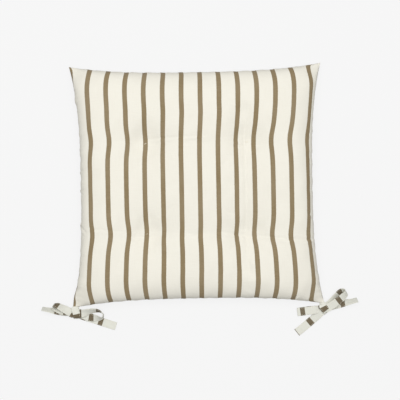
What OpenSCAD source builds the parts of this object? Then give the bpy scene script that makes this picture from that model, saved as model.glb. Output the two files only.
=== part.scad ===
// Tufted chair seat pad: striped cotton cover, loose fibre filling, four tufts and a tied bow at
// each rear corner. It lies on the plane z = 0, with +Y towards the front of the chair.

/* [Cover] */
// Width between the corners, left to right
pad_w = 400; // [330:1:480]
// Depth between the corners, front to rear
pad_d = 383; // [320:1:460]
// Height of the fullest lobes
crown_z = 46; // [36:1:60]
// How far the left and right sides pull in at their middle
pull_x = 17; // [6:1:26]
// How far the front and rear sides pull in at their middle
pull_y = 13; // [5:1:22]
// Height of the seam at the middle of each side
seam_z = 14; // [10:1:18]
// Height of the seam at the corners
corner_z = 9; // [7:0.5:12]
// Thickness of the cotton cloth
cloth_t = 0.8; // [0.6:0.1:1.2]
// Depth that the flat underside would bulge to if nothing held it
belly = 10; // [6:1:16]

/* [Tufts] */
// Distance between the left and right tufts
tuft_dx = 158; // [120:1:190]
// Distance of the front tufts from the middle
tuft_front = 66; // [50:1:90]
// Distance of the rear tufts from the middle
tuft_rear = 75; // [50:1:90]
// Share of the crown that a tuft pulls down
tuft_pull = 0.5; // [0.4:0.05:0.85]
// Reach of a tuft's dimple on the top
tuft_reach = 24; // [16:1:36]
// Height of the dimple under each tuft
under_dimple = 7; // [4:0.5:9]
// Reach of a dimple on the underside
under_reach = 13; // [9:1:20]
// Half width of the flat floor of a dimple
tuft_floor = 5; // [4.5:0.5:7]

/* [Thread] */
// Radius of a tuft's doubled thread
thread_r = 1; // [0.6:0.1:1.4]
// Length of the stitch that shows at a tuft
stitch_l = 8; // [5:0.5:9]
// Height of the stitch that shows at a tuft
stitch_h = 1.4; // [0.8:0.1:2]
// Thickness of the lockstitch between the two panels
seam_t = 0.8; // [0.5:0.1:1.2]
// Distance of the lockstitch from the edge
seam_inset = 0.4; // [0.2:0.1:0.5]
// Length of the hand-closed gap in the rear seam
closing_l = 150; // [100:5:200]
// Thickness of the closing stitches
closing_t = 0.9; // [0.5:0.1:1.5]
// Length of the bar of thread that fixes a tie in its corner
tack_l = 9; // [6:0.5:10]
// Distance of that bar from the corner along each side, inside the pad
tack_in = 8; // [7:0.5:12]
// Width of that bar
tack_w = 2; // [1:0.1:3]
// Height of that bar
tack_h = 3; // [2:0.1:4]

/* [Ties] */
// Width of a folded strap
strap_w = 13; // [9:0.5:16]
// Thickness of a folded strap
strap_t = 1.2; // [0.8:0.1:1.4]

/* [Fit] */
// Gap round a thread where it goes through the pad
thread_gap = 0.1; // [0.05:0.05:0.3]
// Gap between a corner of the seam and the straps that swing on it
tie_gap = 3.1; // [2.8:0.1:4]

/* [Hidden] */

CREAM = [0.93, 0.91, 0.86];
THREAD = [0.96, 0.94, 0.88];
WADDING = [0.98, 0.98, 0.97];

outer_cells = 8;
inner_cells = 6;
edge_power = 8;
round_power = 0.42;
pull_power = 3;
dimple_power = 1.6;
floor_spread = 1.5;
thread_facets = 24;
closing_steps = 12;
spline_steps = 3;
big = 1000;

// Place of a point of the cover, from its cloth coordinates u and v, each from -1 to 1
function side_x(v) = pad_w / 2 - pull_x * (1 - pow(abs(v), pull_power));
function side_y(u) = pad_d / 2 - pull_y * (1 - pow(abs(u), pull_power));
function place(u, v) = [u * side_x(v), v * side_y(u)];

// Cloth coordinates of the tufts
tuft_u = (tuft_dx / 2) / (pad_w / 2 - pull_x);
front_v = tuft_front / (pad_d / 2 - pull_y);
rear_v = -tuft_rear / (pad_d / 2 - pull_y);
floor_u = tuft_floor / (pad_w / 2 - pull_x);
floor_v = tuft_floor / (pad_d / 2 - pull_y);
TUFTS = [place(-tuft_u, front_v), place(tuft_u, front_v), place(-tuft_u, rear_v), place(tuft_u, rear_v)];

// Grid lines: fine at the edges, with three lines through each tuft
function outwards(from, to) = [for (i = [1 : outer_cells]) from + (to - from) * sin(90 * i / outer_cells)];
function reversed(list) = [for (i = [len(list) - 1 : -1 : 0]) list[i]];
function between(from, to) = [for (i = [1 : inner_cells - 1]) from + (to - from) * i / inner_cells];
function lines(low, high, half) = concat(
    reversed(outwards(low - half, -1)), [low - half, low, low + half],
    between(low + half, high - half), [high - half, high, high + half], outwards(high + half, 1)
);
U = lines(-tuft_u, tuft_u, floor_u);
V = lines(rear_v, front_v, floor_v);

// Heights of the cover: the seam, the fullness inside it and the pull of the tufts
function fullness(u, v) = pow((1 - pow(abs(u), edge_power)) * (1 - pow(abs(v), edge_power)), round_power);
function seam_height(u, v) = corner_z + (seam_z - corner_z) * (1 - pow(abs(u * v), pull_power));
function off_floor(p, tuft) = max(0, norm(p - tuft) - tuft_floor * floor_spread);
function dimple(p, reach) = max([for (t = TUFTS) exp(-pow(off_floor(p, t) / reach, dimple_power))]);
function top_height(u, v) =
    seam_height(u, v) + seam_t / 2 + cloth_t
    + fullness(u, v) * (crown_z - seam_z - seam_t / 2 - cloth_t)
        * (1 - tuft_pull * dimple(place(u, v), tuft_reach));
function under_share(u, v) = 1 - (seam_z - under_dimple + belly) / (seam_z + belly)
    * dimple(place(u, v), under_reach);
function free_under(u, v) =
    seam_height(u, v) - seam_t / 2 - cloth_t
    - fullness(u, v) * (seam_z + belly) * under_share(u, v);
function under_height(u, v) = max(0, free_under(u, v));

// Closed solid between two grids of points: each row of the grids runs along X
function quads(cols, rows, base, flip) = [
    for (j = [0 : rows - 2], i = [0 : cols - 2])
        let (a = base + j * cols + i, b = a + 1, c = a + cols + 1, d = a + cols)
            each flip ? [[a, b, c], [a, c, d]] : [[c, b, a], [d, c, a]]
];
function border(cols, rows) = concat(
    [for (i = [0 : cols - 1]) i],
    [for (j = [1 : rows - 1]) j * cols + cols - 1],
    [for (i = [cols - 2 : -1 : 0]) (rows - 1) * cols + i],
    [for (j = [rows - 2 : -1 : 1]) j * cols]
);
module slab(low, high, cols, rows) {
    edge = border(cols, rows);
    count = len(edge);
    shift = cols * rows;
    wall = [
        for (k = [0 : count - 1])
            let (a = edge[k], b = edge[(k + 1) % count])
                each [[b, a, a + shift], [b, a + shift, b + shift]]
    ];
    polyhedron(
        points = concat(low, high),
        faces = concat(quads(cols, rows, 0, true), quads(cols, rows, shift, false), wall)
    );
}
function grid(us, vs, height) = [for (v = vs, u = us) [place(u, v).x, place(u, v).y, height(u, v)]];
function inside(list) = [for (i = [1 : len(list) - 2]) list[i]];

// Holes for the four threads
module thread_holes() {
    for (t = TUFTS)
        translate([t.x, t.y, -big / 2])
            cylinder(r = thread_r + thread_gap, h = big, $fn = thread_facets);
}

module top_panel() {
    color(CREAM)
        difference() {
            slab(
                grid(U, V, function (u, v) top_height(u, v) - cloth_t),
                grid(U, V, function (u, v) top_height(u, v)),
                len(U), len(V)
            );
            thread_holes();
        }
}

module bottom_panel() {
    color(CREAM)
        difference() {
            slab(
                grid(U, V, function (u, v) free_under(u, v)),
                grid(U, V, function (u, v) under_height(u, v) + cloth_t),
                len(U), len(V)
            );
            thread_holes();
            translate([-big / 2, -big / 2, -big])
                cube([big, big, big]);
        }
}

module filling() {
    us = inside(U);
    vs = inside(V);
    color(WADDING)
        difference() {
            slab(
                grid(us, vs, function (u, v) under_height(u, v) + cloth_t),
                grid(us, vs, function (u, v) top_height(u, v) - cloth_t),
                len(us), len(vs)
            );
            thread_holes();
            for (side = [-1, 1])
                tack_bar(side);
        }
}

// Outline of the seam, counter-clockwise, as cloth coordinates
OUTLINE = concat(
    [for (i = [0 : len(U) - 2]) [U[i], -1]],
    [for (j = [0 : len(V) - 2]) [1, V[j]]],
    [for (i = [len(U) - 1 : -1 : 1]) [U[i], 1]],
    [for (j = [len(V) - 1 : -1 : 1]) [-1, V[j]]]
);
// A point of the seam line moved inwards from the edge
function seam_point(c, inset, z) =
    let (p = place(c.x, c.y))
        [p.x * (1 - inset / pad_w * 2), p.y * (1 - inset / pad_d * 2), seam_height(c.x, c.y) + z];

// Tube of rings with four corners each, closed on itself or with flat ends. Facing sides are cut
// along the same diagonal, so that a twist doesn't push one side through the other.
module four_sided(rings, closed) {
    count = len(rings);
    spans = closed ? count : count - 1;
    sides = [
        for (i = [0 : spans - 1], k = [0 : 3])
            let (
                a = i * 4 + k, b = i * 4 + (k + 1) % 4,
                c = ((i + 1) % count) * 4 + (k + 1) % 4, d = ((i + 1) % count) * 4 + k
            )
                each k < 2 ? [[c, b, a], [d, c, a]] : [[d, c, b], [d, b, a]]
    ];
    last = (count - 1) * 4;
    ends = closed ? [] : [[0, 1, 2], [0, 2, 3], [last + 2, last + 1, last], [last + 3, last + 2, last]];
    polyhedron(points = [for (r = rings) each r], faces = concat(sides, ends));
}

module seam_thread() {
    near = seam_inset;
    far = seam_inset + seam_t;
    half = seam_t / 2;
    color(THREAD)
        four_sided([
            for (c = OUTLINE)
                [seam_point(c, near, -half), seam_point(c, far, -half),
                    seam_point(c, far, half), seam_point(c, near, half)]
        ], true);
}

module closing_stitch() {
    half = seam_t / 2 + cloth_t;
    reach = closing_l / pad_w;
    spots = [for (i = [0 : closing_steps]) [reach * (2 * i / closing_steps - 1), -1]];
    rear = -side_y(reach) - thread_gap;
    color(THREAD)
        four_sided([
            for (c = spots)
                let (p = place(c.x, c.y), z = seam_height(c.x, c.y), y = min(p.y - thread_gap, rear))
                    [[p.x, y - closing_t, z - half], [p.x, y, z - half],
                        [p.x, y, z + half], [p.x, y - closing_t, z + half]]
        ], false);
}

// Doubled thread through the pad, with a stitch pulled flat on each side
module tuft_thread(u, v) {
    spot = place(u, v);
    top = top_height(u, v);
    under = under_height(u, v);
    color(THREAD)
        translate([spot.x, spot.y, 0]) {
            translate([0, 0, under - stitch_h / 2])
                cylinder(r = thread_r, h = top - under + stitch_h, $fn = thread_facets);
            for (z = [top + thread_gap, under - stitch_h - thread_gap])
                translate([0, 0, z])
                    linear_extrude(stitch_h) {
                        translate([-stitch_l / 2 + thread_r, -thread_r])
                            square([stitch_l - 2 * thread_r, 2 * thread_r]);
                        for (side = [-1, 1])
                            translate([side * (stitch_l / 2 - thread_r), 0])
                                circle(r = thread_r, $fn = thread_facets);
                    }
        }
}

module tuft_thread_front_left() {
    tuft_thread(-tuft_u, front_v);
}

module tuft_thread_front_right() {
    tuft_thread(tuft_u, front_v);
}

module tuft_thread_rear_left() {
    tuft_thread(-tuft_u, rear_v);
}

module tuft_thread_rear_right() {
    tuft_thread(tuft_u, rear_v);
}

// The corner that a tie hangs from, and the place behind it where the straps come free
function rear_corner(side) = [side * pad_w / 2, -pad_d / 2, corner_z];

// Bar of thread inside a rear corner, across the diagonal that the straps come out along
module tack_bar(side) {
    corner = rear_corner(side);
    translate([corner.x - side * tack_in, corner.y + tack_in, corner.z - tack_h / 2])
        rotate([0, 0, side * 45])
            translate([-tack_l / 2, -tack_w / 2, 0])
                cube([tack_l, tack_w, tack_h]);
}

module bartack(side) {
    color(THREAD)
        tack_bar(side);
}

module left_tie_bartack() {
    bartack(-1);
}

module right_tie_bartack() {
    bartack(1);
}

// Routes of the straps, from the corner through the knot, round one loop and out as a tail.
// Each point gives x and y from the corner, z, the heading of the strap's width, and its tilt.
LEFT_OUTER = [
    [3, -2.9, 8.3, 0, 0], [3, -5.5, 8.1, -5, 0], [2.5, -9.6, 6.8, -50, 0], [-2, -9.6, 6.9, -95, 0],
    [-9, -4.2, 9, -110, 22], [-17, 0.4, 10.2, -112, 44], [-25, 4.6, 9.8, -113, 58],
    [-31, 5.2, 8.6, -113, 74], [-29, -0.2, 7.2, -112, 56], [-19, -4.2, 6.2, -112, 38],
    [-8, -6, 4.6, -112, 12], [0, -8, 3.7, -111, 0], [6, -10.2, 2.9, -110, 0], [13, -13, 2.1, -110, 0],
    [24, -17, 1, -110, 0], [38, -21.6, 0.8, -109, 0], [52, -26.4, 0.8, -108, 0],
    [67, -31.4, 0.8, -108, 0]
];
LEFT_INNER = [
    [4, -2.9, 9.7, 0, 0], [4.3, -5.5, 9.9, 0, 0], [5.6, -10, 10.1, 0, 0], [6, -14.5, 8.6, 0, 0],
    [6, -17, 5, 0, 0], [6, -14.5, 1.4, 0, 0], [6, -9.5, 0.8, 0, 0], [6, -5, 1.8, 0, 0],
    [6, -3.4, 4.2, 0, 0], [7, -5.4, 6.6, 10, 0], [9, -7.8, 7.4, 45, 0], [14, -9, 8.2, 80, 14],
    [24, -6, 9.8, 86, 40], [34, -4.6, 10.1, 84, 52], [42, -6, 9.6, 80, 66], [47.5, -11, 8.8, 76, 82],
    [45, -16.4, 7.6, 74, 64], [36, -17, 5.8, 74, 34], [23, -14.8, 3.2, 74, 6], [13, -11.2, 3.6, 78, 0],
    [6, -9, 3, 82, 0], [-1, -8, 2.2, 82, 0], [-12, -6.8, 1.9, 80, -8], [-26, -5.3, 5, 80, -44],
    [-38, -3, 6.4, 80, -62], [-50, -0.5, 6.6, 78, -68]
];
RIGHT_OUTER = [
    [-2, -2.9, 8.3, 0, 0], [-2, -5.5, 8, 10, 0], [1.2, -9.4, 7.4, 80, 0], [8, -5, 8.6, 120, 4],
    [15, -0.5, 10.4, 123, 10], [23, 5.2, 11.6, 124, 18], [30.5, 11.5, 11.4, 124, 32], [35, 16.5, 9.4, 122, 42],
    [32, 20, 6.8, 122, 45], [26, 18.5, 5.4, 124, 44], [19.5, 12, 5.2, 126, 38], [12, 3, 5.6, 127, 22],
    [6, -3.5, 5.8, 128, 6], [0.5, -9, 5.8, 129, 0], [-6, -14.8, 5.6, 130, 0], [-13, -21, 3.4, 131, 0],
    [-23, -29.7, 1, 131, 0], [-33, -38, 0.8, 131, 0], [-44, -46.3, 0.8, 131, 0]
];
RIGHT_INNER = [
    [-2.5, -2.9, 9.7, 0, 0], [-2.4, -4.8, 9.9, 12, 0], [0.5, -8.7, 10.2, 38, 0], [3, -12, 8.6, 38, 0],
    [4.6, -14, 5.2, 38, 0], [3, -12, 1.6, 38, 0], [0.5, -8.7, 0.8, 38, 0], [-2, -5.6, 1.4, 38, 0],
    [-3.2, -4.2, 3.2, 30, 0], [-4, -6.4, 4.4, -20, 0], [-8, -9.2, 4.8, -78, 0], [-16, -10.2, 6.8, -86, 0],
    [-28, -11.5, 6, -85, 0], [-38, -12.7, 4.8, -84, 0], [-42.6, -13.2, 2.8, -84, 0], [-37, -12.5, 1, -84, 0],
    [-26, -11.3, 1.1, -84, 0], [-16, -10.4, 1.8, -84, 0], [-7, -9.4, 2.6, -80, 0], [0.5, -8.2, 2.5, -76, 0],
    [7, -6.2, 2, -76, 0], [17, -3.5, 1.7, -76, 6], [29.5, -0.5, 4.2, -76, 34], [41, 2, 6, -78, 56],
    [53, 4.8, 6.5, -80, 62]
];

// Smooth curve through a route, as rings of four corners round a flat strap
function spline(a, b, c, d, t) =
    b + (c - a) * t / 2 + (2 * a - 5 * b + 4 * c - d) * t * t / 2 + (3 * b - a - 3 * c + d) * t * t * t / 2;
function kept(list, i) = list[max(0, min(len(list) - 1, i))];
function along(route) = [
    for (i = [0 : (len(route) - 1) * spline_steps])
        let (k = min(len(route) - 2, floor(i / spline_steps)))
            spline(kept(route, k - 1), route[k], route[k + 1], kept(route, k + 2), i / spline_steps - k)
];
function flat_of(p) = [p[0], p[1], p[2]];
function unit(v) = v / norm(v);
function width_of(p) = [cos(p[3]) * cos(p[4]), sin(p[3]) * cos(p[4]), sin(p[4])];
function strap_ring(before, p, after) =
    let (
        run = unit(flat_of(after) - flat_of(before)),
        raw = width_of(p),
        wide = unit(raw - run * (raw * run)) * strap_w / 2,
        thick = unit(cross(run, wide)) * strap_t / 2
    )
        [for (s = [[-1, -1], [1, -1], [1, 1], [-1, 1]]) flat_of(p) + s.x * wide + s.y * thick];

module strap(side, route) {
    corner = rear_corner(side);
    points = along(route);
    start = [0, -tie_gap - route[0].y, 0];
    color(CREAM)
        translate([corner.x, corner.y, 0] + start)
            four_sided([
                for (i = [0 : len(points) - 1])
                    strap_ring(kept(points, i - 1), points[i], kept(points, i + 1))
            ], false);
}

module left_tie_outer_strap() {
    strap(-1, LEFT_OUTER);
}

module left_tie_inner_strap() {
    strap(-1, LEFT_INNER);
}

module right_tie_outer_strap() {
    strap(1, RIGHT_OUTER);
}

module right_tie_inner_strap() {
    strap(1, RIGHT_INNER);
}

top_panel();
bottom_panel();
filling();
seam_thread();
closing_stitch();
tuft_thread_front_left();
tuft_thread_front_right();
tuft_thread_rear_left();
tuft_thread_rear_right();
left_tie_bartack();
right_tie_bartack();
left_tie_outer_strap();
left_tie_inner_strap();
right_tie_outer_strap();
right_tie_inner_strap();
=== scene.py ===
"""Tufted chair seat pad: striped cotton cover round fibre wadding, four tufts and two tied bows.

Sizes are in metres. +Y points towards the front of the chair, and the pad lies on z = 0.
"""

import logging
from collections.abc import Sequence
from dataclasses import dataclass, field
from enum import Enum

import bpy
import numpy as np
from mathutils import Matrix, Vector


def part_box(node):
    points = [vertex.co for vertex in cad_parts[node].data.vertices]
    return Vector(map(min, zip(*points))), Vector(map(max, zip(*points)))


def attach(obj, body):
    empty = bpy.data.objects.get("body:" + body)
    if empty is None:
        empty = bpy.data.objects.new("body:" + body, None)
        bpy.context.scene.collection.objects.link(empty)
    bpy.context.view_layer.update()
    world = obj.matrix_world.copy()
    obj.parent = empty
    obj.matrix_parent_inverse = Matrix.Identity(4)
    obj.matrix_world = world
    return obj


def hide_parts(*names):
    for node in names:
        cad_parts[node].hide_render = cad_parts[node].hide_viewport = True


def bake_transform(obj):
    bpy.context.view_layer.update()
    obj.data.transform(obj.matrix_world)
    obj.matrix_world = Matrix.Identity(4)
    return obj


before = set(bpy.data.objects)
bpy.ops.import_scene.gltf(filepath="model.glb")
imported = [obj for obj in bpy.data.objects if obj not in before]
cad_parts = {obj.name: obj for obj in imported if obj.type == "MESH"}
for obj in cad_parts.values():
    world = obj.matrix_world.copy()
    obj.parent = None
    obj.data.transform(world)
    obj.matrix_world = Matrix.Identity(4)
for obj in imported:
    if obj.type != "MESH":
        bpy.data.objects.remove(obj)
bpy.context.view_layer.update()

MM = 0.001
CLOTH_MAP = "cloth"
log = logging.getLogger("seat_pad")


class Side(Enum):
    """The rear corner that a tie hangs from."""

    LEFT = -1
    RIGHT = 1

    @property
    def word(self) -> str:
        """The side's name, as the nodes and pieces spell it."""
        return self.name.lower()

    @property
    def body(self) -> str:
        """The body that this side's bow swings with."""
        return f"{self.word}_bow"


# ---------------------------------------------------------------------------------------------
# Meshes
# ---------------------------------------------------------------------------------------------


def unit(vectors: np.ndarray) -> np.ndarray:
    """Vectors scaled to length one, along the last axis."""
    return vectors / np.maximum(np.linalg.norm(vectors, axis=-1, keepdims=True), 1e-12)


def lay_grid(rows: int, cols: int, closed: bool = False) -> np.ndarray:
    """Quads of a grid of points that is stored row by row.

    Args:
        rows: Number of rows.
        cols: Number of points in a row.
        closed: Whether the last column joins the first, as round a tube.

    Returns:
        One row of four point numbers for each quad.
    """
    spans = cols if closed else cols - 1
    r, c = np.meshgrid(np.arange(rows - 1), np.arange(spans), indexing="ij")
    a = r * cols + c
    b = r * cols + (c + 1) % cols
    return np.stack([a, b, b + cols, a + cols], axis=-1).reshape(-1, 4)


def end_caps(rows: int, cols: int) -> np.ndarray:
    """Quads that close both ends of a tube by joining each ring's two halves."""
    i = np.arange(cols // 2 - 1)
    last = np.stack([i, i + 1, cols - 2 - i, cols - 1 - i], axis=-1)
    return np.concatenate([last[:, ::-1], last + (rows - 1) * cols])


def corner_map(across: np.ndarray, along: np.ndarray) -> np.ndarray:
    """Cloth map of each quad's corners, from the map's value at each column and each row.

    Args:
        across: Map value at each column line, one more than the quads across.
        along: Map value at each row line, one more than the quads along.

    Returns:
        An array of quads by four corners by two values.
    """
    u, v = np.meshgrid(across, along)
    grid = np.stack([u, v], axis=-1)
    corners = [grid[:-1, :-1], grid[:-1, 1:], grid[1:, 1:], grid[1:, :-1]]
    return np.stack(corners, axis=2).reshape(-1, 4, 2)


def ribbon_mesh(points: np.ndarray, across: float, along: np.ndarray) -> tuple:
    """Quads and cloth map of a closed ribbon with capped ends.

    Args:
        points: Rings by points by three.
        across: How much of the map one trip round a ring takes.
        along: Map value at each ring.

    Returns:
        The quads and the map of their corners.
    """
    rows, cols = points.shape[:2]
    sides = corner_map(np.arange(cols + 1) / cols * across, along)[..., ::-1]
    caps = end_caps(rows, cols)
    ends = np.where(caps < cols, along[0], along[-1])
    cap_map = np.stack([ends, (caps % cols) / cols * across], axis=-1)
    faces = np.concatenate([lay_grid(rows, cols, True), caps])
    return faces, np.concatenate([sides, cap_map])


def make_piece(
    name: str, points: np.ndarray, faces: np.ndarray, cloth: np.ndarray | None = None
) -> bpy.types.Object:
    """Makes a smooth-shaded object at the origin from points and quads.

    Args:
        name: The piece's name.
        points: Its points, in any array whose last axis is x, y, z.
        faces: Its quads as point numbers.
        cloth: The cloth map of the quads' corners, where the finish follows the cloth.

    Returns:
        The new object, in the scene.
    """
    mesh = bpy.data.meshes.new(name)
    mesh.from_pydata(points.reshape(-1, 3).tolist(), [], faces.tolist())
    if cloth is not None:
        layer = mesh.uv_layers.new(name=CLOTH_MAP)
        layer.data.foreach_set("uv", cloth.ravel())
    mesh.polygons.foreach_set("use_smooth", np.ones(len(mesh.polygons), bool))
    mesh.update()
    piece = bpy.data.objects.new(name, mesh)
    bpy.context.scene.collection.objects.link(piece)
    return piece


def dress(
    piece: bpy.types.Object,
    material: bpy.types.Material,
    body: str | None = None,
    node: str | None = None,
) -> bpy.types.Object:
    """Gives a piece its material and tells the frame what it is.

    Args:
        piece: The piece.
        material: Its material.
        body: The body that it rides on, unless it bends between two.
        node: The node that it stands for, if any.

    Returns:
        The same piece.
    """
    piece.data.materials.append(material)
    if node:
        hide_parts(node)
    if body:
        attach(piece, body)
    return piece


def grid_normals(points: np.ndarray) -> np.ndarray:
    """Unit normals of a grid of points: along a row, crossed with along a column."""
    return unit(np.cross(np.gradient(points, axis=1), np.gradient(points, axis=0)))


def spline(route: np.ndarray, steps: int) -> np.ndarray:
    """Catmull-Rom curve through a route's points, each piece cut into equal steps.

    Args:
        route: Points, with any number of values each.
        steps: Steps between one point and the next.

    Returns:
        The curve's points, with the same number of values each.
    """
    held = np.concatenate([route[:1], route, route[-1:]])
    a, b, c, d = (held[i : i + len(route) - 1, None] for i in range(4))
    t = (np.arange(steps) / steps)[None, :, None]
    curve = (
        b
        + (c - a) * t / 2
        + (2 * a - 5 * b + 4 * c - d) * t**2 / 2
        + (3 * b - a - 3 * c + d) * t**3 / 2
    )
    return np.concatenate([curve.reshape(-1, route.shape[1]), route[-1:]])


def arc_length(points: np.ndarray) -> np.ndarray:
    """Distance of each point from the first one, along the line."""
    return np.concatenate([[0.0], np.cumsum(np.linalg.norm(np.diff(points, axis=0), axis=1))])


def at_distance(
    points: np.ndarray, where: np.ndarray, lengths: np.ndarray | None = None
) -> np.ndarray:
    """Points at the given distances along a line.

    Args:
        points: The line's points, or values that go with them.
        where: The distances wanted.
        lengths: Distance of each point, unless it is to be measured along the points.

    Returns:
        One point or value for each distance.
    """
    lengths = arc_length(points) if lengths is None else lengths
    columns = [np.interp(where, lengths, points[:, k]) for k in range(points.shape[1])]
    return np.stack(columns, axis=-1)


def thread_mesh(path: np.ndarray, up: np.ndarray, radius: float, sides: int = 8) -> tuple:
    """Round tube along an open path, as a circle carried along it, with rounded ends.

    Args:
        path: Points of the path.
        up: Direction that isn't along the path anywhere.
        radius: Radius of the thread.
        sides: Points round the thread.

    Returns:
        Points of the rings and the quads between them.
    """
    run = unit(np.gradient(path, axis=0))
    wide = unit(np.cross(up, run))
    thick = np.cross(run, wide)
    turn = 2 * np.pi * np.arange(sides) / sides
    taper = np.ones(len(path))
    taper[[0, -1]] = 0.45
    ring = np.cos(turn)[:, None] * wide[:, None] + np.sin(turn)[:, None] * thick[:, None]
    points = path[:, None] + ring * (radius * taper)[:, None, None]
    faces = np.concatenate([lay_grid(len(path), sides, True), end_caps(len(path), sides)])
    return points.reshape(-1, 3), faces


def joined(parts: Sequence[tuple]) -> tuple:
    """Puts several sets of points and quads into one."""
    starts = np.cumsum([0] + [len(points) for points, _ in parts[:-1]])
    faces = [quads + start for (_, quads), start in zip(parts, starts)]
    return np.concatenate([points for points, _ in parts]), np.concatenate(faces)


def plied_thread(path: np.ndarray, up: np.ndarray, radius: float, pitch: float) -> tuple:
    """Two plies twisted round a path: each is the path moved along a helix of half the radius."""
    run = unit(np.gradient(path, axis=0))
    wide = unit(np.cross(up, run))
    thick = np.cross(run, wide)
    turn = 2 * np.pi * arc_length(path) / pitch
    plies = []
    for start in (0.0, np.pi):
        out = np.cos(turn + start)[:, None] * wide + np.sin(turn + start)[:, None] * thick
        plies.append(thread_mesh(path + out * radius * 0.5, up, radius * 0.56, 6))
    return joined(plies)


def stitches(
    starts: np.ndarray, ends: np.ndarray, outward: np.ndarray, radius: float, arch: float
) -> tuple:
    """Row of short stitches, each a thread that thins at its ends and arches between them.

    Args:
        starts: First end of each stitch.
        ends: Other end of each stitch.
        outward: Direction in which each stitch arches.
        radius: Radius of the thread.
        arch: Height of the arch over the straight line between the ends.

    Returns:
        Points and quads of the whole row.
    """
    sides = 6
    share = np.array([0.0, 0.1, 0.3, 0.5, 0.7, 0.9, 1.0])
    girth = np.array([0.35, 0.85, 1.0, 1.0, 1.0, 0.85, 0.35])
    turn = 2 * np.pi * np.arange(sides) / sides
    run = unit(ends - starts)
    wide = unit(np.cross(outward, run))
    thick = np.cross(run, wide)
    middle = (
        starts[:, None]
        + (ends - starts)[:, None] * share[:, None]
        + outward[:, None] * (arch * np.sin(np.pi * share))[:, None]
    )
    ring = np.cos(turn)[:, None] * wide[:, None] + np.sin(turn)[:, None] * thick[:, None]
    points = middle[:, :, None] + ring[:, None] * (radius * girth)[:, None, None]
    rows = len(share)
    one = np.concatenate([lay_grid(rows, sides, True), end_caps(rows, sides)])
    shift = (np.arange(len(starts)) * rows * sides)[:, None, None]
    return points.reshape(-1, 3), (one[None] + shift).reshape(-1, 4)


# ---------------------------------------------------------------------------------------------
# Finishes
# ---------------------------------------------------------------------------------------------


def linear(red: int, green: int, blue: int) -> tuple[float, float, float, float]:
    """A screen colour, each channel from 0 to 255, as the linear colour that shaders take."""
    share = np.array([red, green, blue]) / 255
    straight = np.where(share <= 0.04045, share / 12.92, ((share + 0.055) / 1.055) ** 2.4)
    return (*straight.tolist(), 1.0)


class Wiring:
    """Adds nodes to a node tree and links them."""

    def __init__(self, tree: bpy.types.NodeTree) -> None:
        """Starts from a tree, which keeps the nodes that it has."""
        self.tree = tree

    def add(self, kind: str, inputs: dict | None = None, **settings: object) -> bpy.types.Node:
        """Adds a node.

        Args:
            kind: The node's type, without its ShaderNode prefix.
            inputs: Value or output socket for each named or numbered input.
            settings: Properties of the node.

        Returns:
            The new node.
        """
        node = self.tree.nodes.new(f"ShaderNode{kind}")
        for name, value in settings.items():
            setattr(node, name, value)
        for name, value in (inputs or {}).items():
            if isinstance(value, bpy.types.NodeSocket):
                self.tree.links.new(value, node.inputs[name])
            else:
                node.inputs[name].default_value = value
        return node

    def link(self, value: bpy.types.NodeSocket, node: bpy.types.Node, label: str) -> None:
        """Feeds a socket into a node's named input."""
        self.tree.links.new(value, node.inputs[label])

    def math(self, operation: str, *values: object) -> bpy.types.NodeSocket:
        """The result of a sum on values or sockets."""
        node = self.add("Math", dict(enumerate(values)), operation=operation)
        return node.outputs[0]

    def mix(self, share: object, first: object, second: object) -> bpy.types.NodeSocket:
        """A colour between two, by a share."""
        node = self.add("Mix", {0: share, 6: first, 7: second}, data_type="RGBA")
        return node.outputs[2]

    def between(self, value: object, low: float, high: float, start: float, end: float) -> object:
        """A value moved smoothly from one range, low to high, to another, start to end."""
        inputs = {"Value": value, "From Min": low, "From Max": high, "To Min": start, "To Max": end}
        node = self.add("MapRange", inputs, interpolation_type="SMOOTHSTEP")
        return node.outputs["Result"]

    def noise(self, vector: object, scale: float, detail: float = 2.0) -> bpy.types.NodeSocket:
        """Smooth noise from about 0 to 1."""
        node = self.add("TexNoise", {"Vector": vector, "Scale": scale, "Detail": detail})
        return node.outputs["Fac"]

    def stretched(self, vector: object, scale: tuple, turn: tuple = (0, 0, 0)) -> object:
        """Coordinates scaled, and turned if asked."""
        inputs = {"Vector": vector, "Scale": scale, "Rotation": turn}
        return self.add("Mapping", inputs).outputs["Vector"]


def new_group(name: str, inputs: dict, outputs: Sequence[str]) -> tuple:
    """Makes an empty shader group with named inputs and outputs.

    Args:
        name: The group's name.
        inputs: For each input, its socket type and default value, or None.
        outputs: Names of the outputs, which are all plain numbers.

    Returns:
        The group, its wiring, its input node and its output node.
    """
    group = bpy.data.node_groups.new(name, "ShaderNodeTree")
    for label, (kind, value) in inputs.items():
        socket = group.interface.new_socket(label, in_out="INPUT", socket_type=kind)
        if value is not None:
            socket.default_value = value
    for label in outputs:
        group.interface.new_socket(label, in_out="OUTPUT", socket_type="NodeSocketFloat")
    wiring = Wiring(group)
    return group, wiring, wiring.tree.nodes.new("NodeGroupInput"), group.nodes.new("NodeGroupOutput")


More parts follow.
